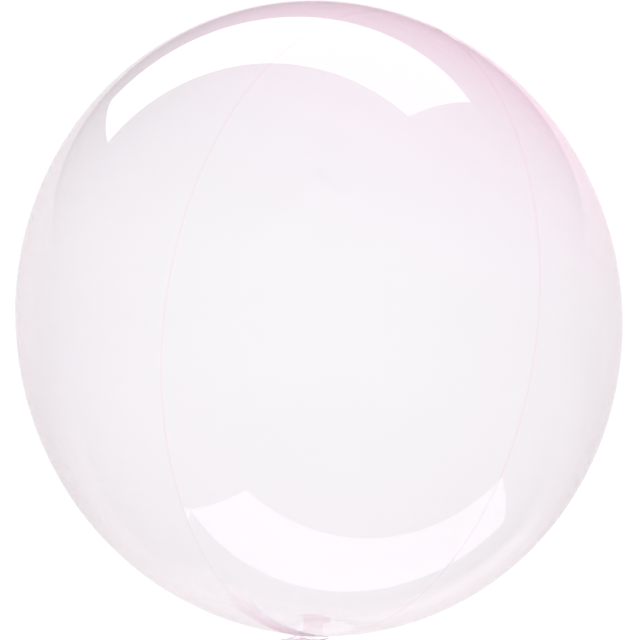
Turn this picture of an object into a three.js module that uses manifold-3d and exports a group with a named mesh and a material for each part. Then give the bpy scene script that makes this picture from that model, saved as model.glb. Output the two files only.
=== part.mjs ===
// Clear bubble balloon: one sealed envelope of two stretch film panels, welded on a great circle,
// with a flat filling neck that lies on the floor and a self-sealing valve sleeve in its mouth.
// Millimetres, +Z up, the front towards -Y. The origin is the point of the floor under the body's middle.
// Run with the npm packages three and manifold-3d.
import * as THREE from 'three';
import { mergeVertices } from 'three/addons/utils/BufferGeometryUtils.js';
import Module from 'manifold-3d';

// The inflated body is a ball that is slightly longer one way, as stretched film is
const BODY_WIDTH = 457;
const BODY_LENGTH = 480;
const LONG_AXIS_LEAN = 10.4; // degrees from upright, top towards -X
const REST_SPOT_RADIUS = 28; // where the film spreads on the floor

// The weld of the two panels, a great circle of the body
const SEAM_TURN = 37.8; // degrees about Z from +X to the seam plane's normal
const SEAM_DIP = 7.7; // degrees that the normal points below level
const SEAM_WIDTH = 2.4;
const SEAM_PROUD = 0.8;

// The filling neck grows out of the seam and is folded flat on the floor
const NECK_ANGLE = 7; // degrees along the seam from its lowest point to the neck, towards -Y
const NECK_LENGTH = 78;
const NECK_WIDTH = 22;
const MOUTH_WIDTH = 29;
const MOUTH_FLARE_LENGTH = 18;
const ROOT_WIDTH = 30;
const ROOT_THICKNESS = 6;
const ROOT_SINK = 7; // how far the gathered root reaches into the body
const ROOT_RUN = 16; // over which the gathers settle to the flat neck
const NECK_FILM = 0.35;
const NECK_WELD_WIDTH = 2.2;
const NECK_WELD_THICKNESS = 0.7;
const NECK_SHOULDER = 1.4; // run from the side weld up to the neck's full thickness

// The valve is a flat film sleeve between the neck's two layers
const VALVE_WIDTH = 15;
const VALVE_THICKNESS = 0.5;
const VALVE_HELD = 20; // length inside the mouth
const VALVE_SHOWN = 9; // length that stands out of the mouth
const VALVE_CORNER = 2.5;
const VALVE_CLEARANCE = 0.3;

// Mesh fineness
const BODY_SIDES = 60;
const BODY_RINGS = 30;
const NECK_STATIONS = 26;
const CORNER_STEPS = 4;

const UP = new THREE.Vector3(0, 0, 1);
const radians = THREE.MathUtils.degToRad;

const halfWidth = BODY_WIDTH / 2;
const halfLength = BODY_LENGTH / 2;
const lean = radians(LONG_AXIS_LEAN);
const halfHeight = Math.hypot(halfLength * Math.cos(lean), halfWidth * Math.sin(lean));
const spotDepth = halfHeight * (1 - Math.sqrt(1 - (REST_SPOT_RADIUS / halfWidth) ** 2));
const centreHeight = halfHeight - spotDepth;
const slotHeight = VALVE_THICKNESS + 2 * VALVE_CLEARANCE;
const neckThickness = slotHeight + 2 * NECK_FILM;

const wasm = await Module();
wasm.setup();

// A closed three.js geometry as a solid that can be joined and cut
function solidOf(geometry) {
  const bare = geometry.clone();
  bare.deleteAttribute('normal');
  bare.deleteAttribute('uv');
  const merged = mergeVertices(bare);
  return new wasm.Manifold(new wasm.Mesh({
    numProp: 3,
    vertProperties: new Float32Array(merged.getAttribute('position').array),
    triVerts: new Uint32Array(merged.getIndex().array),
  }));
}

// A solid as a three.js geometry
function geometryOf(solid) {
  const { vertProperties, triVerts } = solid.getMesh();
  const geometry = new THREE.BufferGeometry();
  geometry.setAttribute('position', new THREE.BufferAttribute(vertProperties, 3));
  geometry.setIndex(new THREE.BufferAttribute(triVerts, 1));
  geometry.computeVertexNormals();
  return geometry;
}

// Turns a unit ball into the body: longer along an axis that leans from upright
function bodyStretch() {
  const turn = new THREE.Matrix4().makeRotationY(-lean);
  return turn.clone()
    .multiply(new THREE.Matrix4().makeScale(halfWidth, halfWidth, halfLength))
    .multiply(turn.clone().invert())
    .premultiply(new THREE.Matrix4().makeTranslation(0, 0, centreHeight));
}

// The seam plane's normal, the direction of the seam's lowest point and the level direction
// along the seam there, all from the body's middle
function seamFrame() {
  const dip = radians(SEAM_DIP);
  const turn = radians(SEAM_TURN);
  const normal = new THREE.Vector3(
    Math.cos(dip) * Math.cos(turn), Math.cos(dip) * Math.sin(turn), -Math.sin(dip));
  const lowest = UP.clone().negate().projectOnPlane(normal).normalize();
  const along = lowest.clone().cross(normal).normalize();
  return { normal, lowest, along };
}

// The inflated body: a turned ball with the seam's weld standing out at its equator
function bodyGeometry(seam) {
  const weldRadius = 1 + SEAM_PROUD / halfWidth;
  const weldAngle = SEAM_WIDTH / 2 / halfWidth;
  const rings = Array.from({ length: BODY_RINGS + 1 }, (_, i) => Math.PI * (i / BODY_RINGS - 0.5));
  const panel = rings.filter((angle) => Math.abs(angle) > weldAngle);
  const profile = [...panel.map((angle) => [angle, 1]),
    [-weldAngle, 1], [-weldAngle / 2, weldRadius], [weldAngle / 2, weldRadius], [weldAngle, 1]]
    .sort((a, b) => a[0] - b[0])
    .map(([angle, radius]) => new THREE.Vector2(radius * Math.cos(angle), radius * Math.sin(angle)));
  profile[0].x = 0;
  profile[profile.length - 1].x = 0;
  const ball = new THREE.LatheGeometry(profile, BODY_SIDES);
  const toSeam = new THREE.Quaternion().setFromUnitVectors(new THREE.Vector3(0, 1, 0), seam.normal);
  return ball.applyQuaternion(toSeam).applyMatrix4(bodyStretch());
}

// Half of a flattened tube's outline, from its welded edge at +width/2 over the top to the other edge
function tubeOutline(width, thickness, weldThickness) {
  const edge = width / 2;
  const weld = edge - NECK_WELD_WIDTH;
  const crown = weld - NECK_SHOULDER;
  const top = [[edge, weldThickness / 2], [weld, weldThickness / 2], [crown, thickness / 2]];
  const over = [...top, ...top.map(([w, t]) => [-w, t]).reverse()];
  return [...over, ...over.map(([w, t]) => [-w, -t])];
}

// A closed skin over outlines that stand at stations along the neck
function loft(stations) {
  const count = stations[0].outline.length;
  const points = [];
  const faces = [];
  for (const { centre, across, up, outline } of stations) {
    for (const [w, t] of outline) {
      points.push(centre.clone().addScaledVector(across, w).addScaledVector(up, t));
    }
  }
  const ring = (station, corner) => station * count + (corner % count);
  for (let station = 0; station < stations.length - 1; station += 1) {
    for (let corner = 0; corner < count; corner += 1) {
      const [a, b] = [ring(station, corner), ring(station, corner + 1)];
      const [c, d] = [ring(station + 1, corner + 1), ring(station + 1, corner)];
      faces.push(a, b, c, a, c, d);
    }
  }
  const last = stations.length - 1;
  const startMiddle = points.push(stations[0].centre) - 1;
  const endMiddle = points.push(stations[last].centre) - 1;
  for (let corner = 0; corner < count; corner += 1) {
    faces.push(startMiddle, ring(0, corner + 1), ring(0, corner));
    faces.push(endMiddle, ring(last, corner), ring(last, corner + 1));
  }
  return new THREE.BufferGeometry().setFromPoints(points).setIndex(faces);
}

// Where the neck leaves the seam, and the level directions across and along the folded neck
function neckFrame(seam) {
  const angle = radians(NECK_ANGLE);
  const root = seam.lowest.clone().multiplyScalar(Math.cos(angle))
    .addScaledVector(seam.along, Math.sin(angle))
    .applyMatrix4(bodyStretch());
  const across = seam.along;
  const along = new THREE.Vector3(across.y, -across.x, 0);
  return { root, across, along };
}

// The neck from inside the body to the mouth: gathered at its root, flat on the floor, flared at the mouth
function neckGeometry({ root, across, along }) {
  const restHeight = neckThickness / 2;
  const rootHeight = Math.max(root.z, ROOT_THICKNESS / 2);
  const { smoothstep, lerp } = THREE.MathUtils;
  const centreAt = (run) => {
    const settled = smoothstep(run, -ROOT_SINK, ROOT_RUN);
    return new THREE.Vector3(root.x, root.y, 0)
      .addScaledVector(along, run)
      .addScaledVector(UP, lerp(rootHeight, restHeight, settled));
  };
  const stations = Array.from({ length: NECK_STATIONS + 1 }, (_, i) => {
    const run = lerp(-ROOT_SINK, NECK_LENGTH, i / NECK_STATIONS);
    const settled = smoothstep(run, -ROOT_SINK, ROOT_RUN);
    const flared = smoothstep(run, NECK_LENGTH - MOUTH_FLARE_LENGTH, NECK_LENGTH);
    const width = lerp(lerp(ROOT_WIDTH, NECK_WIDTH, settled), MOUTH_WIDTH, flared);
    const thickness = lerp(ROOT_THICKNESS, neckThickness, settled);
    const weld = lerp(ROOT_THICKNESS / 2, NECK_WELD_THICKNESS, settled);
    return { centre: centreAt(run), across, up: UP, outline: tubeOutline(width, thickness, weld) };
  });
  return loft(stations);
}

// The turn about Z that brings +X to the neck's direction
function neckTurn(neck) {
  return Math.atan2(neck.along.y, neck.along.x);
}

// The slot between the neck's layers that the valve sleeve lies in, open at the mouth
function slotGeometry(neck) {
  const depth = VALVE_HELD + VALVE_CLEARANCE;
  const past = VALVE_SHOWN;
  const centre = neck.root.clone().setZ(neckThickness / 2)
    .addScaledVector(neck.along, NECK_LENGTH + (past - depth) / 2);
  return new THREE.BoxGeometry(depth + past, VALVE_WIDTH + 2 * VALVE_CLEARANCE, slotHeight)
    .rotateZ(neckTurn(neck))
    .translate(centre.x, centre.y, centre.z);
}

// Everything below the floor, which the film's resting spot is cut flat by
function floorGeometry() {
  const side = 2 * BODY_LENGTH;
  return new THREE.BoxGeometry(side, side, side).translate(0, 0, -side / 2);
}

// The sealed envelope: body, seam and neck are the same two panels
function envelope(seam, neck) {
  const film = new THREE.MeshStandardMaterial({
    color: 0xfbeaf2, roughness: 0.05, metalness: 0, transparent: true, opacity: 0.35,
  });
  const shape = solidOf(bodyGeometry(seam))
    .add(solidOf(neckGeometry(neck)))
    .subtract(solidOf(floorGeometry()))
    .subtract(solidOf(slotGeometry(neck)));
  const mesh = new THREE.Mesh(geometryOf(shape), film);
  mesh.name = 'envelope';
  return mesh;
}

// The valve sleeve's outline from its held end at x = 0, with round corners at the end that shows
function valveShape() {
  const length = VALVE_HELD + VALVE_SHOWN;
  const half = VALVE_WIDTH / 2;
  const shape = new THREE.Shape();
  shape.moveTo(0, -half);
  shape.lineTo(length - VALVE_CORNER, -half);
  shape.absarc(length - VALVE_CORNER, VALVE_CORNER - half, VALVE_CORNER, -Math.PI / 2, 0, false);
  shape.absarc(length - VALVE_CORNER, half - VALVE_CORNER, VALVE_CORNER, 0, Math.PI / 2, false);
  shape.lineTo(0, half);
  shape.closePath();
  return shape;
}

// The valve sleeve, lying in the slot and standing out of the mouth
function valveSleeve(neck) {
  const film = new THREE.MeshStandardMaterial({ color: 0xf3d3e2, roughness: 0.25, metalness: 0 });
  const geometry = new THREE.ExtrudeGeometry(valveShape(), {
    depth: VALVE_THICKNESS, bevelEnabled: false, curveSegments: CORNER_STEPS,
  });
  const mesh = new THREE.Mesh(geometry, film);
  mesh.name = 'valve_sleeve';
  mesh.position.copy(neck.root).addScaledVector(neck.along, NECK_LENGTH - VALVE_HELD)
    .setZ((neckThickness - VALVE_THICKNESS) / 2);
  mesh.rotation.z = neckTurn(neck);
  return mesh;
}

const seam = seamFrame();
const neck = neckFrame(seam);
const group = new THREE.Group();
group.name = 'clear_bubble_balloon';
group.add(envelope(seam, neck), valveSleeve(neck));

export default group;
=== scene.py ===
"""Looks of the clear bubble balloon, in metres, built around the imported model."""

from __future__ import annotations

import logging
import math
from dataclasses import dataclass, field
from enum import Enum
from typing import Any, Callable

import bpy
from mathutils import Matrix, Vector


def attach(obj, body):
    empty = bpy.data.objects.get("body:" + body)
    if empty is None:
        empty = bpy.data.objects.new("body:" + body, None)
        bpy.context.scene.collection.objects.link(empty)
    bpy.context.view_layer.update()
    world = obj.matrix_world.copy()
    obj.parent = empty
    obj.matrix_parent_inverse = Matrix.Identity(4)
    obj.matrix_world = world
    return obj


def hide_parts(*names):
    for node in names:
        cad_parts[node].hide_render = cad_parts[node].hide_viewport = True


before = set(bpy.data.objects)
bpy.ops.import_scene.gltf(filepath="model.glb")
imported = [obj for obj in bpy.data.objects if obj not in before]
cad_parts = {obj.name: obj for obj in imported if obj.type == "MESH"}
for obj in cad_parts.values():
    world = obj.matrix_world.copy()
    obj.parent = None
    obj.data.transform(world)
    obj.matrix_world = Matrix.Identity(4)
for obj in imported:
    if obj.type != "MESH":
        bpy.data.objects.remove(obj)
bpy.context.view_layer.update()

log = logging.getLogger("bubble_balloon")

MM = 0.001
PHOTO_SIDE_PX = 640
SHARP_ANGLE = math.radians(40)
UP = Vector((0, 0, 1))
FULL = 1.0

# The sRGB standard's curve from a stored colour to a linear one.
BYTE = 255
TOE_END, TOE_SLOPE = 0.04045, 12.92
CURVE_OFFSET, CURVE_POWER = 0.055, 2.4


class MeshPart(Enum):
    """The parts of a mesh that can be selected, by Blender's names."""

    VERTICES = "VERT"
    EDGES = "EDGE"
    FACES = "FACE"


def linear(hex_colour: str) -> tuple[float, float, float, float]:
    """Turns an sRGB colour into the linear one that shaders take.

    Args:
        hex_colour: six hex digits, such as "F6F1F5".

    Returns:
        Linear red, green and blue, and an alpha of 1.
    """
    channels = (int(hex_colour[i:i + 2], 16) / BYTE for i in (0, 2, 4))
    red, green, blue = (
        c / TOE_SLOPE if c <= TOE_END else ((c + CURVE_OFFSET) / (1 + CURVE_OFFSET)) ** CURVE_POWER
        for c in channels
    )
    return red, green, blue, FULL


def one_of_stack(hex_colour: str, layers: int) -> tuple[float, float, float, float]:
    """The colour of one clear layer, from the colour seen through a stack of them."""
    red, green, blue, _ = (c ** (1 / layers) for c in linear(hex_colour))
    return red, green, blue, FULL


def smoothstep(value: float, low: float, high: float) -> float:
    """Eases from 0 at low to 1 at high."""
    t = min(max((value - low) / (high - low), 0), 1)
    return t * t * (3 - 2 * t)


def lerp(start: float, end: float, share: float) -> float:
    """The value that lies a share of the way from start to end."""
    return start + (end - start) * share


def add_node(
    tree: bpy.types.NodeTree,
    kind: str,
    settings: dict[str, Any] | None = None,
    inputs: dict[str | int, Any] | None = None,
) -> bpy.types.Node:
    """Adds a shader node with its settings and links.

    Args:
        tree: the node tree that the node goes into.
        kind: the node's type name.
        settings: properties of the node, by name.
        inputs: for each input, by name or number, a plain value or the output socket that feeds it.

    Returns:
        The new node.
    """
    node = tree.nodes.new(kind)
    for name, value in (settings or {}).items():
        setattr(node, name, value)
    for key, value in (inputs or {}).items():
        if isinstance(value, bpy.types.NodeSocket):
            tree.links.new(value, node.inputs[key])
        else:
            node.inputs[key].default_value = value
    return node


def new_material(name: str) -> tuple[bpy.types.Material, bpy.types.NodeTree, bpy.types.NodeSocket]:
    """Starts a node material.

    Args:
        name: the material's name.

    Returns:
        The material, its emptied tree and its output's surface socket.
    """
    material = bpy.data.materials.new(name)
    material.use_nodes = True
    tree = material.node_tree
    tree.nodes.clear()
    output = add_node(tree, "ShaderNodeOutputMaterial")
    return material, tree, output.inputs["Surface"]


def direction_from(tree: bpy.types.NodeTree, middle: Vector) -> bpy.types.NodeSocket:
    """Works out the direction in which each place lies.

    Args:
        tree: the node tree that the nodes go into.
        middle: the place that directions are measured from.

    Returns:
        The socket of the direction, one long.
    """
    place_in = add_node(tree, "ShaderNodeTexCoord").outputs["Object"]
    from_middle = add_node(tree, "ShaderNodeVectorMath", {"operation": "SUBTRACT"}, {
        0: place_in, 1: middle})
    direction = add_node(tree, "ShaderNodeVectorMath", {"operation": "NORMALIZE"}, {
        0: from_middle.outputs[0]})
    return direction.outputs[0]


def clear_selection() -> None:
    """Leaves edit mode and selects nothing, so that an operator acts on the new piece alone."""
    if bpy.context.mode != "OBJECT":
        bpy.ops.object.mode_set(mode="OBJECT")
    bpy.ops.object.select_all(action="DESELECT")


def only(piece: bpy.types.Object) -> None:
    """Makes a piece the one selected and active object.

    Args:
        piece: the mesh object.
    """
    clear_selection()
    piece.select_set(True)
    bpy.context.view_layer.objects.active = piece


def select_where(
    piece: bpy.types.Object, part: MeshPart, test: Callable[[Any], bool]
) -> None:
    """Selects some vertices, edges or faces of a piece, and leaves it in edit mode.

    Args:
        piece: the mesh object.
        part: the parts of its mesh that are selected.
        test: says of one vertex, edge or face whether it is selected.
    """
    only(piece)
    bpy.ops.object.mode_set(mode="EDIT")
    bpy.ops.mesh.select_mode(type=part.value)
    bpy.ops.mesh.select_all(action="DESELECT")
    bpy.ops.object.mode_set(mode="OBJECT")
    mesh = piece.data
    items = {
        MeshPart.VERTICES: mesh.vertices, MeshPart.EDGES: mesh.edges, MeshPart.FACES: mesh.polygons}
    for item in items[part]:
        item.select = test(item)
    bpy.ops.object.mode_set(mode="EDIT")


def place(piece: bpy.types.Object, matrix: Matrix) -> None:
    """Moves a piece's mesh by a matrix, and leaves its object at the origin.

    Args:
        piece: the mesh object.
        matrix: the move, turn and scaling.
    """
    only(piece)
    piece.matrix_world = matrix
    bpy.ops.object.transform_apply(location=True, rotation=True, scale=True)


def apply_modifier(piece: bpy.types.Object, kind: str, **settings: Any) -> None:
    """Adds a modifier to a piece and applies it.

    Args:
        piece: the mesh object.
        kind: the modifier's type name.
        **settings: the modifier's properties.
    """
    only(piece)
    modifier = piece.modifiers.new(kind.title(), kind)
    for name, value in settings.items():
        setattr(modifier, name, value)
    bpy.ops.object.modifier_apply(modifier=modifier.name)


def smooth(piece: bpy.types.Object) -> None:
    """Shades a piece smooth, apart from its sharp rims."""
    only(piece)
    bpy.ops.object.shade_smooth_by_angle(angle=SHARP_ANGLE)


def dress(piece: bpy.types.Object, test: Callable[[Any], bool], slot_index: int) -> None:
    """Gives the faces of a piece that pass a test one of its material slots.

    Args:
        piece: the mesh object.
        test: says of one face whether it gets the slot.
        slot_index: the number of the material slot.
    """
    for face in piece.data.polygons:
        if test(face):
            face.material_index = slot_index


@dataclass(frozen=True)
class PinkDye:
    """The film's dye: even and faint, a little stronger over the upper right of the body.

    The colours are those of a stack of film surfaces seen straight through. One surface takes the
    root of it, and a slanting look goes through more dye, so that the balloon's rim is pinker.
    """

    even: str = "EBE0E4"
    strong: str = "FFDEEE"
    stack: int = 10
    strong_towards: tuple[float, float, float] = (0.4, 0.12, 0.91)
    strong_from: float = 0.36
    strong_to: float = 1.0

    def tint(self, tree: bpy.types.NodeTree, middle: Vector) -> bpy.types.NodeSocket:
        """Works out the colour that one film surface takes out of the light.

        Args:
            tree: the material's node tree.
            middle: the body's middle, which directions are measured from.

        Returns:
            The colour socket.
        """
        towards = add_node(tree, "ShaderNodeVectorMath", {"operation": "DOT_PRODUCT"}, {
            0: direction_from(tree, middle), 1: Vector(self.strong_towards).normalized()})
        spread = add_node(tree, "ShaderNodeMapRange", {"interpolation_type": "SMOOTHSTEP"}, {
            "Value": towards.outputs["Value"],
            "From Min": self.strong_from, "From Max": self.strong_to})
        mix = add_node(tree, "ShaderNodeMix", {"data_type": "RGBA"}, {
            "Factor": spread.outputs["Result"],
            "A": one_of_stack(self.even, self.stack), "B": one_of_stack(self.strong, self.stack)})
        return mix.outputs["Result"]


@dataclass(frozen=True)
class StretchFilm:
    """Blown stretch film: clear and glassy, blown up smooth, with a faint dye."""

    name: str = "blown_stretch_film"
    colour: str = "F6F7F8"
    ior: float = 1.5
    dye_ior: float = 1.015
    roughness: float = 0.0
    dye: PinkDye = field(default_factory=PinkDye)

    def relief(self, tree: bpy.types.NodeTree) -> dict[str, bpy.types.NodeSocket]:
        """The shader inputs for a relief: none here, because the blown film is smooth."""
        return {}

    def material(self, middle: Vector) -> bpy.types.Material:
        """Makes the film's material.

        Args:
            middle: the body's middle, which the dye's spread is measured from.

        Returns:
            A see-through material. Its coat has no gloss of its own and carries the dye.
        """
        material, tree, surface = new_material(self.name)
        shader = add_node(tree, "ShaderNodeBsdfPrincipled", inputs={
            "Base Color": linear(self.colour),
            "Roughness": self.roughness,
            "IOR": self.ior,
            "Transmission Weight": FULL,
            "Coat Weight": FULL,
            "Coat IOR": self.dye_ior,
            "Coat Roughness": self.roughness,
            "Coat Tint": self.dye.tint(tree, middle),
            **self.relief(tree),
        })
        tree.links.new(shader.outputs[0], surface)
        return material


@dataclass(frozen=True)
class HeatSeal(StretchFilm):
    """Heat-sealed film: two layers melted to one, a fine line that is a little pinker and cloudier."""

    name: str = "heat_sealed_film"
    colour: str = "F8F1F5"
    roughness: float = 0.04
    grain: float = 2 * MM
    grain_depth: float = 0.03 * MM
    grain_strength: float = 0.2
    grain_detail: float = 2.0

    def relief(self, tree: bpy.types.NodeTree) -> dict[str, bpy.types.NodeSocket]:
        """The sealing bar's fine grain, as a bump.

        Args:
            tree: the material's node tree.

        Returns:
            The shader input that the bump feeds, by name.
        """
        place_in = add_node(tree, "ShaderNodeTexCoord").outputs["Object"]
        grain = add_node(tree, "ShaderNodeTexNoise", inputs={
            "Vector": place_in, "Scale": 1 / self.grain, "Detail": self.grain_detail})
        bump = add_node(tree, "ShaderNodeBump", inputs={
            "Height": grain.outputs["Fac"], "Distance": self.grain_depth,
            "Strength": self.grain_strength})
        return {"Normal": bump.outputs["Normal"]}


@dataclass(frozen=True)
class ValveFilm:
    """Cast valve film: several thin pink layers that cling to each other in soft patches."""

    name: str = "cast_valve_film"
    parted: str = "FFF8FB"
    clinging: str = "FFF0F6"
    ior: float = 1.5
    roughness: float = 0.04
    patch: float = 14 * MM
    crease: float = 3 * MM
    crease_depth: float = 0.1 * MM
    crease_strength: float = 0.3
    patch_detail: float = 1.0
    crease_detail: float = 3.0

    def material(self) -> bpy.types.Material:
        """Makes the sleeve's material.

        Returns:
            A see-through material, deeper pink where the layers cling, with faint creases.
        """
        material, tree, surface = new_material(self.name)
        place_in = add_node(tree, "ShaderNodeTexCoord").outputs["Object"]
        patches = add_node(tree, "ShaderNodeTexNoise", inputs={
            "Vector": place_in, "Scale": 1 / self.patch, "Detail": self.patch_detail})
        creases = add_node(tree, "ShaderNodeTexNoise", inputs={
            "Vector": place_in, "Scale": 1 / self.crease, "Detail": self.crease_detail})
        bump = add_node(tree, "ShaderNodeBump", inputs={
            "Height": creases.outputs["Fac"], "Distance": self.crease_depth,
            "Strength": self.crease_strength})
        colour = add_node(tree, "ShaderNodeMix", {"data_type": "RGBA"}, {
            "Factor": patches.outputs["Fac"], "A": linear(self.parted), "B": linear(self.clinging)})
        shader = add_node(tree, "ShaderNodeBsdfPrincipled", inputs={
            "Base Color": colour.outputs["Result"],
            "Roughness": self.roughness,
            "IOR": self.ior,
            "Transmission Weight": FULL,
            "Normal": bump.outputs["Normal"],
        })
        tree.links.new(shader.outputs[0], surface)
        return material


@dataclass
class Finishes:
    """The balloon's materials, each made once and shared by the pieces that it dresses."""

    film: bpy.types.Material
    seal: bpy.types.Material
    neck_film: bpy.types.Material
    neck_seal: bpy.types.Material
    valve_film: bpy.types.Material
    inner_valve_film: bpy.types.Material

    @classmethod
    def made(cls, middle: Vector) -> Finishes:
        """Makes all of them.

        Args:
            middle: the body's middle, which the dye's spread is measured from.

        Returns:
            The finishes.
        """
        # The neck isn't blown up, so its film is clearer and less dyed. Films that cling have
        # hardly any air between them and mirror less, which an IOR under the film's own stands for.
        neck_dye = PinkDye(even="FDF8FB", strong="FDF8FB")
        clinging_ior, wetted_ior = 1.35, 1.15
        neck_film = StretchFilm("drawn_neck_film", "FEFDFE", clinging_ior, dye=neck_dye)
        neck_seal = HeatSeal("neck_seal", "FEFAFC", clinging_ior, dye=neck_dye)
        inner_film = ValveFilm("wetted_valve_film", "FFF4F9", "FFEAF3", ior=wetted_ior)
        return cls(
            film=StretchFilm().material(middle),
            seal=HeatSeal().material(middle),
            neck_film=neck_film.material(middle),
            neck_seal=neck_seal.material(middle),
            valve_film=ValveFilm().material(),
            inner_valve_film=inner_film.material(),
        )


@dataclass
class Envelope:
    """The inflated film body with its welded seam."""

    width: float = 457 * MM
    length: float = 480 * MM
    lean: float = math.radians(10.4)
    seam_turn: float = math.radians(37.8)
    seam_dip: float = math.radians(7.7)
    rest_spot_radius: float = 28 * MM
    weld_width: float = 2.2 * MM
    weld_proud: float = 0.04 * MM
    wall: float = 0.4 * MM
    sides: int = 192
    rings: int = 96
    equator_within: float = 1e-4
    weld_segments: int = 4
    weld_profile: float = 0.5
    weld_crest: float = 1 / 3
    weld_reach: float = 1.2

    @property
    def half_height(self) -> float:
        """Half of the leaning body's full height, before the resting spot spreads."""
        return math.hypot(self.length / 2 * math.cos(self.lean), self.width / 2 * math.sin(self.lean))

    @property
    def middle(self) -> Vector:
        """The body's middle, over the origin."""
        ratio = self.rest_spot_radius / (self.width / 2)
        return Vector((0, 0, self.half_height * math.sqrt(1 - ratio ** 2)))

    @property
    def seam_normal(self) -> Vector:
        """The normal of the seam's plane."""
        level = math.cos(self.seam_dip)
        return Vector((
            level * math.cos(self.seam_turn), level * math.sin(self.seam_turn), -math.sin(self.seam_dip)))

    def stretch_steps(self) -> tuple[Matrix, Matrix, Matrix]:
        """Works out how a unit ball becomes the body.

        Returns:
            The turn, the scaling and the placing, in the order that they are made in.
        """
        turn = Matrix.Rotation(-self.lean, 4, "Y")
        sizes = Matrix.Diagonal((self.width / 2, self.width / 2, self.length / 2, 1))
        return turn.inverted(), sizes, Matrix.Translation(self.middle) @ turn

    def stretched(self, direction: Vector) -> Vector:
        """The body's point that lies in a direction of the unit ball."""
        turn, sizes, placing = self.stretch_steps()
        return placing @ sizes @ turn @ direction

    def build(self, finishes: Finishes) -> bpy.types.Object:
        """Models the film body as a thin hollow skin with the seam's weld.

        Args:
            finishes: the balloon's materials.

        Returns:
            The finished piece.
        """
        clear_selection()
        bpy.ops.mesh.primitive_uv_sphere_add(segments=self.sides, ring_count=self.rings, radius=1)
        body = bpy.context.active_object
        body.name = "film_envelope"
        self._raise_weld(body)
        to_seam = UP.rotation_difference(self.seam_normal).to_matrix().to_4x4()
        for step in (to_seam, *self.stretch_steps()):
            place(body, step)
        self._spread_on_floor(body)
        body.data.materials.append(finishes.film)
        body.data.materials.append(finishes.seal)
        self._dress_weld(body)
        apply_modifier(body, "SOLIDIFY", thickness=self.wall, offset=-1, use_even_offset=True)
        smooth(body)
        return body

    def _raise_weld(self, body: bpy.types.Object) -> None:
        """Widens the unit ball's equator to the weld's width and raises its middle.

        Args:
            body: the unit ball.
        """
        half = self.width / 2
        on_equator = [abs(v.co.z) < self.equator_within for v in body.data.vertices]
        select_where(body, MeshPart.EDGES, lambda edge: all(on_equator[i] for i in edge.vertices))
        bpy.ops.mesh.bevel(
            offset=self.weld_width / 2 / half, segments=self.weld_segments,
            profile=self.weld_profile, affect="EDGES")
        crest = self.weld_width * self.weld_crest / half
        select_where(body, MeshPart.VERTICES, lambda v: abs(v.co.z) < crest)
        bpy.ops.transform.shrink_fatten(value=self.weld_proud / half)
        bpy.ops.object.mode_set(mode="OBJECT")

    def _spread_on_floor(self, body: bpy.types.Object) -> None:
        """Flattens the film that would reach under the floor on to it.

        Args:
            body: the film body, in its place.
        """
        select_where(body, MeshPart.VERTICES, lambda v: v.co.z < 0)
        bpy.ops.transform.resize(value=(1, 1, 0), center_override=(0, 0, 0))
        bpy.ops.object.mode_set(mode="OBJECT")

    def _dress_weld(self, body: bpy.types.Object) -> None:
        """Gives the faces of the weld the sealed film's slot.

        Args:
            body: the film body, in its place.
        """
        normal = self.seam_normal
        turn, sizes, placing = self.stretch_steps()
        unstretch = (placing @ sizes @ turn).inverted()
        reach = self.weld_width / self.width * self.weld_reach
        dress(body, lambda face: abs((unstretch @ face.center).dot(normal)) < reach, 1)


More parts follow.
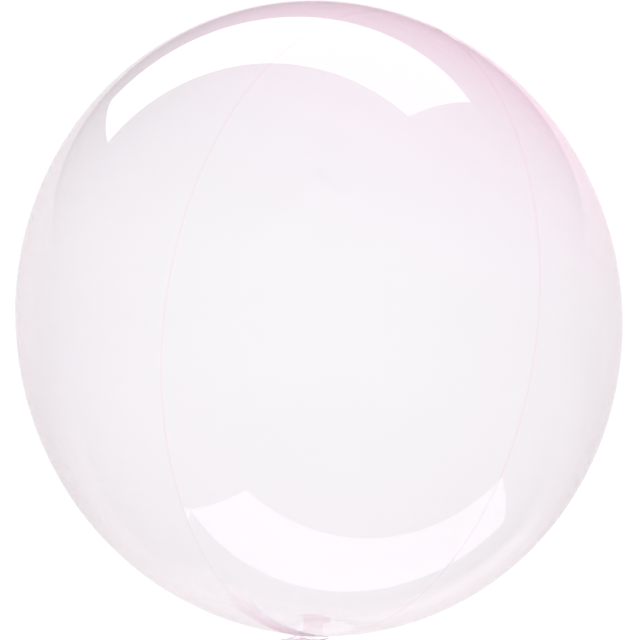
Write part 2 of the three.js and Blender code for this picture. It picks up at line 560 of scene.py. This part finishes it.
@dataclass
class Neck:
    """The flat filling neck, which leaves the seam near its lowest point and lies on the floor.

    It is modelled with its run along +X from the root and its width along Y, and then placed.
    """

    root: Vector
    across: Vector
    length: float = 78 * MM
    width: float = 22 * MM
    thickness: float = 1.8 * MM
    mouth_width: float = 29 * MM
    flare_length: float = 18 * MM
    root_width: float = 30 * MM
    root_thickness: float = 6 * MM
    root_sink: float = 4 * MM
    root_run: float = 16 * MM
    weld_share: float = 0.2
    weld_flattening: float = 0.4
    pucker_lift: float = 1.3
    pucker_every: int = 4
    pucker_width: int = 2
    wall: float = 0.2 * MM
    sides: int = 56
    stations: int = 30

    @property
    def placing(self) -> Matrix:
        """Brings the neck from its own place to the body's seam."""
        along = Vector((self.across.y, -self.across.x, 0))
        turn = Matrix.Rotation(math.atan2(along.y, along.x), 4, "Z")
        return Matrix.Translation((self.root.x, self.root.y, 0)) @ turn

    def section(self, run: float) -> tuple[float, float, float]:
        """The neck's size at a run from its root.

        Args:
            run: the way from the root along the neck.

        Returns:
            The width, the thickness and the height of the section's middle over the floor.
        """
        settled = smoothstep(run, -self.root_sink, self.root_run)
        flared = smoothstep(run, self.length - self.flare_length, self.length)
        width = lerp(lerp(self.root_width, self.width, settled), self.mouth_width, flared)
        thickness = lerp(self.root_thickness, self.thickness, settled)
        return width, thickness, thickness / 2

    def build(self, finishes: Finishes) -> bpy.types.Object:
        """Models the neck as two film layers, welded along both sides and puckered at the root.

        Args:
            finishes: the balloon's materials.

        Returns:
            The finished piece.
        """
        clear_selection()
        bpy.ops.mesh.primitive_circle_add(
            vertices=self.sides, radius=1, rotation=(math.radians(90), 0, math.radians(90)))
        neck = bpy.context.active_object
        neck.name = "filling_neck"
        place(neck, neck.matrix_world.copy())
        self._pucker(neck)
        self._draw_out(neck)
        only(neck)
        bpy.ops.object.mode_set(mode="EDIT")
        bpy.ops.mesh.select_all(action="SELECT")
        bpy.ops.mesh.normals_make_consistent(inside=False)
        bpy.ops.object.mode_set(mode="OBJECT")
        neck.data.materials.append(finishes.neck_film)
        neck.data.materials.append(finishes.neck_seal)
        edge = 1 - self.weld_share
        dress(neck, lambda face: abs(face.center.y) > edge * self.section(face.center.x)[0] / 2, 1)
        apply_modifier(neck, "SOLIDIFY", thickness=self.wall, offset=-1)
        smooth(neck)
        place(neck, self.placing)
        return neck

    def _pucker(self, neck: bpy.types.Object) -> None:
        """Shapes the first section: thin welded edges, and puckers over both layers.

        Args:
            neck: the neck's first section, a ring of one unit's radius.
        """
        edge = 1 - self.weld_share
        select_where(neck, MeshPart.VERTICES, lambda v: abs(v.co.y) > edge)
        bpy.ops.transform.resize(value=(1, 1, self.weld_flattening), center_override=(0, 0, 0))
        select_where(neck, MeshPart.VERTICES, lambda v: (
            abs(v.co.y) < edge and v.index % self.pucker_every < self.pucker_width))
        bpy.ops.transform.resize(value=(1, 1, self.pucker_lift), center_override=(0, 0, 0))

    def _draw_out(self, neck: bpy.types.Object) -> None:
        """Extrudes the section along the neck and sizes it at each station.

        Args:
            neck: the neck's first section, puckered.
        """
        step = (self.length + self.root_sink) / self.stations
        select_where(neck, MeshPart.VERTICES, lambda v: True)
        width, thickness, height = self.section(-self.root_sink)
        bpy.ops.transform.resize(
            value=(1, width / 2, thickness / 2 / self.pucker_lift), center_override=(0, 0, 0))
        bpy.ops.transform.translate(value=(-self.root_sink, 0, height))
        for station in range(1, self.stations + 1):
            run = -self.root_sink + step * station
            next_width, next_thickness, next_height = self.section(run)
            bpy.ops.mesh.extrude_region_move(
                TRANSFORM_OT_translate={"value": (step, 0, next_height - height)})
            bpy.ops.transform.resize(
                value=(1, next_width / width, next_thickness / thickness),
                center_override=(run, 0, next_height))
            width, thickness, height = next_width, next_thickness, next_height
        bpy.ops.object.mode_set(mode="OBJECT")


@dataclass
class ValveSleeve:
    """A flat stretch of the valve sleeve, with a weld line on each side of its channel.

    It is modelled along +X in the neck's own place, and then placed with the neck.
    """

    name: str
    film: bpy.types.Material
    placing: Matrix
    start: float
    end: float
    height: float
    width: float = 15 * MM
    thickness: float = 0.5 * MM
    corner: float = 2.5 * MM
    channel: float = 6.5 * MM
    weld_line: float = 0.8 * MM
    corner_segments: int = 6
    rim_round: float = 0.1 * MM
    rim_segments: int = 2

    def build(self, finishes: Finishes) -> bpy.types.Object:
        """Models the sleeve as a strip with round outer corners and two sealed lines.

        Args:
            finishes: the balloon's materials.

        Returns:
            The finished piece.
        """
        clear_selection()
        bpy.ops.mesh.primitive_plane_add(size=1)
        strip = bpy.context.active_object
        strip.name = self.name
        at = Vector(((self.start + self.end) / 2, 0, self.height))
        place(strip, Matrix.Translation(at) @ Matrix.Diagonal((self.end - self.start, self.width, 1, 1)))
        select_where(strip, MeshPart.VERTICES, lambda v: abs(v.co.x - self.end) < MM)
        bpy.ops.mesh.bevel(offset=self.corner, segments=self.corner_segments, affect="VERTICES")
        low, high = self.channel / 2, self.channel / 2 + self.weld_line
        for line in (-high, -low, low, high):
            select_where(strip, MeshPart.FACES, lambda face: True)
            bpy.ops.mesh.bisect(plane_co=(0, line, 0), plane_no=(0, 1, 0))
        bpy.ops.object.mode_set(mode="OBJECT")
        strip.data.materials.append(self.film)
        strip.data.materials.append(finishes.neck_seal)
        dress(strip, lambda face: low < abs(face.center.y) < high, 1)
        apply_modifier(strip, "SOLIDIFY", thickness=self.thickness, offset=0)
        apply_modifier(
            strip, "BEVEL", width=self.rim_round, segments=self.rim_segments, limit_method="ANGLE")
        place(strip, self.placing)
        return strip


@dataclass
class InnerSleeve:
    """The valve sleeve's part that is sealed inside: it lies on the body's lower film.

    A stem widens into the neck's root at its front, and ends in a wider, rounded head at its back.
    """

    left: float = -12 * MM
    front: float = -44 * MM
    back: float = 36 * MM
    width: float = 15 * MM
    head_width: float = 21 * MM
    head_length: float = 26 * MM
    head_round: float = 6 * MM
    root_width: float = 24 * MM
    root_run: float = 18 * MM
    thickness: float = 0.12 * MM
    clearance: float = 0.25 * MM
    drop_from: float = 60 * MM
    cells_across: int = 12
    cells_along: int = 80

    def width_at(self, along: float) -> float:
        """Works out the strip's width.

        Args:
            along: the place along the strip, from front to back.

        Returns:
            The width there.
        """
        at_root = smoothstep(-along, -self.front - self.root_run, -self.front)
        into_head = self.back - self.head_length
        at_head = smoothstep(along, into_head, into_head + self.head_round)
        width = lerp(lerp(self.width, self.root_width, at_root), self.head_width, at_head)
        past_round = max(along - (self.back - self.head_round), 0) / self.head_round
        corner = self.head_round * (1 - math.sqrt(max(1 - past_round ** 2, 0)))
        return width - 2 * corner

    def build(self, body: bpy.types.Object, finishes: Finishes) -> bpy.types.Object:
        """Models the inner sleeve as a strip laid down on the body's inner wall.

        Args:
            body: the finished envelope.
            finishes: the balloon's materials.

        Returns:
            The finished piece.
        """
        clear_selection()
        length = self.back - self.front
        middle = (self.left + self.width / 2, (self.front + self.back) / 2, self.drop_from)
        bpy.ops.mesh.primitive_grid_add(
            x_subdivisions=self.cells_across, y_subdivisions=self.cells_along, size=1)
        strip = bpy.context.active_object
        strip.name = "inner_valve_sleeve"
        place(strip, Matrix.Translation(middle) @ Matrix.Diagonal((self.width, length, 1, 1)))
        self._shape_outline(strip)
        apply_modifier(
            strip, "SHRINKWRAP", target=body, wrap_method="PROJECT", use_project_z=True,
            use_positive_direction=False, use_negative_direction=True,
            offset=self.clearance + self.thickness)
        apply_modifier(strip, "SOLIDIFY", thickness=self.thickness, offset=-1)
        strip.data.materials.append(finishes.inner_valve_film)
        smooth(strip)
        return strip

    def _shape_outline(self, strip: bpy.types.Object) -> None:
        """Gives each row of the strip its width.

        A row widens to the right alone, and the head's round end draws in from both sides.

        Args:
            strip: the flat strip, over the place where it is laid down.
        """
        cell = (self.back - self.front) / self.cells_along
        for row in range(self.cells_along + 1):
            along = self.front + row * cell
            width = self.width_at(along)
            pivot = self.left
            if along > self.back - self.head_round:
                pivot += self.head_width / 2
            select_where(strip, MeshPart.VERTICES, lambda v: abs(v.co.y - along) < cell / 2)
            bpy.ops.transform.resize(
                value=(width / self.width, 1, 1), center_override=(pivot, along, self.drop_from))
        bpy.ops.object.mode_set(mode="OBJECT")


@dataclass
class Balloon:
    """The whole balloon: the film body, its neck and the valve sleeve."""

    envelope: Envelope = field(default_factory=Envelope)
    neck_angle: float = math.radians(7)
    sleeve_held: float = 20 * MM
    sleeve_shown: float = 9 * MM
    sleeve_start: float = 4 * MM
    sleeve_gap: float = 0.3 * MM

    def neck_root(self) -> tuple[Vector, Vector]:
        """Works out where the neck leaves the seam.

        Returns:
            The seam's point, and the level direction along the seam.
        """
        normal = self.envelope.seam_normal
        down = -UP
        lowest = (down - normal * down.dot(normal)).normalized()
        along_seam = lowest.cross(normal).normalized()
        root = lowest * math.cos(self.neck_angle) + along_seam * math.sin(self.neck_angle)
        return self.envelope.stretched(root), along_seam

    def build(self) -> None:
        """Builds each piece and hands it over."""
        finishes = Finishes.made(self.envelope.middle)
        body = self.envelope.build(finishes)
        root, along_seam = self.neck_root()
        neck = Neck(root, along_seam)
        mouth, height = neck.length, neck.thickness / 2
        shown = ValveSleeve(
            "valve_sleeve_film", finishes.valve_film, neck.placing,
            mouth - self.sleeve_held, mouth + self.sleeve_shown, height)
        hidden = ValveSleeve(
            "neck_valve_sleeve", finishes.inner_valve_film, neck.placing,
            self.sleeve_start, shown.start - self.sleeve_gap, height)
        hand_over(body, "clear_film", "envelope")
        hand_over(neck.build(finishes), "clear_film", "envelope")
        hand_over(shown.build(finishes), "valve_film", "valve_sleeve")
        hand_over(hidden.build(finishes), "valve_film")
        hand_over(InnerSleeve().build(body, finishes), "valve_film")


@dataclass
class Softbox:
    """A large softbox far overhead, a little tilted, whose two mirror images are the bright crescents."""

    from_middle: tuple[float, float, float] = (-2.3, 6.7, 14.0)
    size: tuple[float, float] = (26.8, 9.3)
    turn: tuple[float, float, float] = (math.radians(-2.65), math.radians(-6.9), math.radians(-25))
    brightness: float = 1.5

    def build(self, middle: Vector) -> None:
        """Hangs the softbox.

        Args:
            middle: the body's middle, which its place is measured from.
        """
        lamp = bpy.data.lights.new("softbox", "AREA")
        lamp.shape = "RECTANGLE"
        lamp.size, lamp.size_y = self.size
        # An area lamp's power is its brightness times pi times its area.
        lamp.energy = self.brightness * math.pi * lamp.size * lamp.size_y
        softbox = bpy.data.objects.new("softbox", lamp)
        softbox.location = middle + Vector(self.from_middle)
        softbox.rotation_euler = self.turn
        bpy.context.collection.objects.link(softbox)


@dataclass
class Room:
    """The plain pale studio's light, by direction from the balloon.

    Each pair is where a change starts and ends, as a share of a direction's X, Y or Z. The bright
    backdrop alone has a clear edge, along its top, given as the way up over the way back. Its
    mirror image is the edge that runs just inside the balloon's rim.
    """

    left: float = 0.79
    right: float = 0.93
    left_to_right: tuple[float, float] = (-1.2, -0.6)
    ceiling: float = 0.51
    to_ceiling: tuple[float, float] = (0.2, 0.8)
    backdrop: float = 1.24
    above_backdrop: float = 0.79
    top_edge: tuple[float, float] = (0.44, 0.49)
    to_backdrop: tuple[float, float] = (0.27, 1.1)
    floor: float = 1.25
    from_floor: tuple[float, float] = (-0.94, -0.04)

    def brightness(
        self, tree: bpy.types.NodeTree, direction: bpy.types.NodeSocket
    ) -> bpy.types.NodeSocket:
        """Works out how bright the studio is in each direction.

        Args:
            tree: the node tree that the nodes go into.
            direction: the socket of the direction.

        Returns:
            The brightness socket.
        """
        parts = add_node(tree, "ShaderNodeSeparateXYZ", inputs={0: direction}).outputs
        sides = self._change(tree, parts["X"], self.left_to_right, self.left, self.right)
        walls = self._change(tree, parts["Z"], self.to_ceiling, sides, self.ceiling)
        rise = add_node(tree, "ShaderNodeMath", {"operation": "DIVIDE"}, {0: parts["Z"], 1: parts["Y"]})
        behind = self._change(
            tree, rise.outputs[0], self.top_edge, self.backdrop, self.above_backdrop)
        room = self._change(tree, parts["Y"], self.to_backdrop, walls, behind)
        return self._change(tree, parts["Z"], self.from_floor, self.floor, room)

    def build(self) -> None:
        """Fills the world with the room's light."""
        world = bpy.data.worlds.new("studio_room")
        bpy.context.scene.world = world
        world.use_nodes = True
        tree = world.node_tree
        tree.nodes.clear()
        direction = add_node(tree, "ShaderNodeTexCoord").outputs["Generated"]
        light = add_node(tree, "ShaderNodeBackground", inputs={
            "Color": linear("FFFFFF"), "Strength": self.brightness(tree, direction)})
        add_node(tree, "ShaderNodeOutputWorld", inputs={"Surface": light.outputs[0]})

    def _change(
        self,
        tree: bpy.types.NodeTree,
        value: bpy.types.NodeSocket,
        span: tuple[float, float],
        start: float | bpy.types.NodeSocket,
        end: float | bpy.types.NodeSocket,
    ) -> bpy.types.NodeSocket:
        """Adds a soft change from one brightness to another.

        Args:
            tree: the node tree that the node goes into.
            value: the share of the direction that the change follows.
            span: where the change starts and ends.
            start: the brightness before it.
            end: the brightness after it.

        Returns:
            The brightness socket.
        """
        low, high = span
        change = add_node(tree, "ShaderNodeMapRange", {"interpolation_type": "SMOOTHSTEP"}, {
            "Value": value, "From Min": low, "From Max": high, "To Min": start, "To Max": end})
        return change.outputs["Result"]


@dataclass
class LightPanel:
    """The backlit floor, brightest under the balloon, which fades into the room far away."""

    name: str = "backlit_opal_acrylic"
    side: float = 80.0

    def build(self, room: Room, middle: Vector) -> None:
        """Lays the floor.

        Args:
            room: the studio's light by direction, which the floor's glow takes part in.
            middle: the body's middle, which the directions are measured from.
        """
        clear_selection()
        bpy.ops.mesh.primitive_plane_add(size=self.side)
        floor = bpy.context.active_object
        floor.name = "light_panel_floor"
        floor.data.materials.append(self.material(room, middle))

    def material(self, room: Room, middle: Vector) -> bpy.types.Material:
        """Makes the panel's opal acrylic.

        Args:
            room: the studio's light by direction.
            middle: the body's middle, which the directions are measured from.

        Returns:
            A material that glows, so that no shadow shows on it.
        """
        material, tree, surface = new_material(self.name)
        brightness = room.brightness(tree, direction_from(tree, middle))
        glow = add_node(tree, "ShaderNodeEmission", inputs={"Strength": brightness})
        tree.links.new(glow.outputs[0], surface)
        return material


@dataclass
class Studio:
    """Plain white studio: a glowing floor panel, the softbox and the pale room."""

    panel: LightPanel = field(default_factory=LightPanel)
    softbox: Softbox = field(default_factory=Softbox)
    room: Room = field(default_factory=Room)

    def build(self, middle: Vector) -> None:
        """Lays the floor, hangs the softbox and fills the room with light.

        Args:
            middle: the body's middle, which places and directions are measured from.
        """
        self.panel.build(self.room, middle)
        self.softbox.build(middle)
        self.room.build()


@dataclass
class PhotoCamera:
    """The camera at the photograph's place: level with the body's middle."""

    distance: float = 1.053
    focal_px: float = 1367
    sensor: float = 36.0
    right_of_middle: float = 0.8 * MM
    below_middle: float = 1.2 * MM

    def build(self, middle: Vector) -> None:
        """Makes the scene's camera.

        Args:
            middle: the body's middle, which the camera looks past by the photograph's framing.
        """
        optics = bpy.data.cameras.new("photo_camera")
        optics.sensor_width = self.sensor
        optics.lens = self.focal_px / PHOTO_SIDE_PX * self.sensor
        camera = bpy.data.objects.new("photo_camera", optics)
        camera.location = middle + Vector((self.right_of_middle, -self.distance, -self.below_middle))
        camera.rotation_euler = (math.radians(90), 0, 0)
        bpy.context.collection.objects.link(camera)
        bpy.context.scene.camera = camera


def hand_over(piece: bpy.types.Object, slot: str, *nodes: str) -> None:
    """Makes a piece part of the balloon and reports it.

    Args:
        piece: the finished piece.
        slot: the name of a record's material slot; not used.
        *nodes: the CAD nodes that it stands for.
    """
    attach(piece, "root")
    if nodes:
        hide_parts(*nodes)
    log.info("%s: %d faces", piece.name, len(piece.data.polygons))


def main() -> None:
    """Builds the camera, the studio and the balloon, piece by piece."""
    logging.basicConfig(level=logging.INFO, format="%(message)s")
    bpy.context.scene.view_settings.view_transform = "Standard"
    balloon = Balloon()
    PhotoCamera().build(balloon.envelope.middle)
    Studio().build(balloon.envelope.middle)
    balloon.build()


if __name__ == "__main__":
    main()
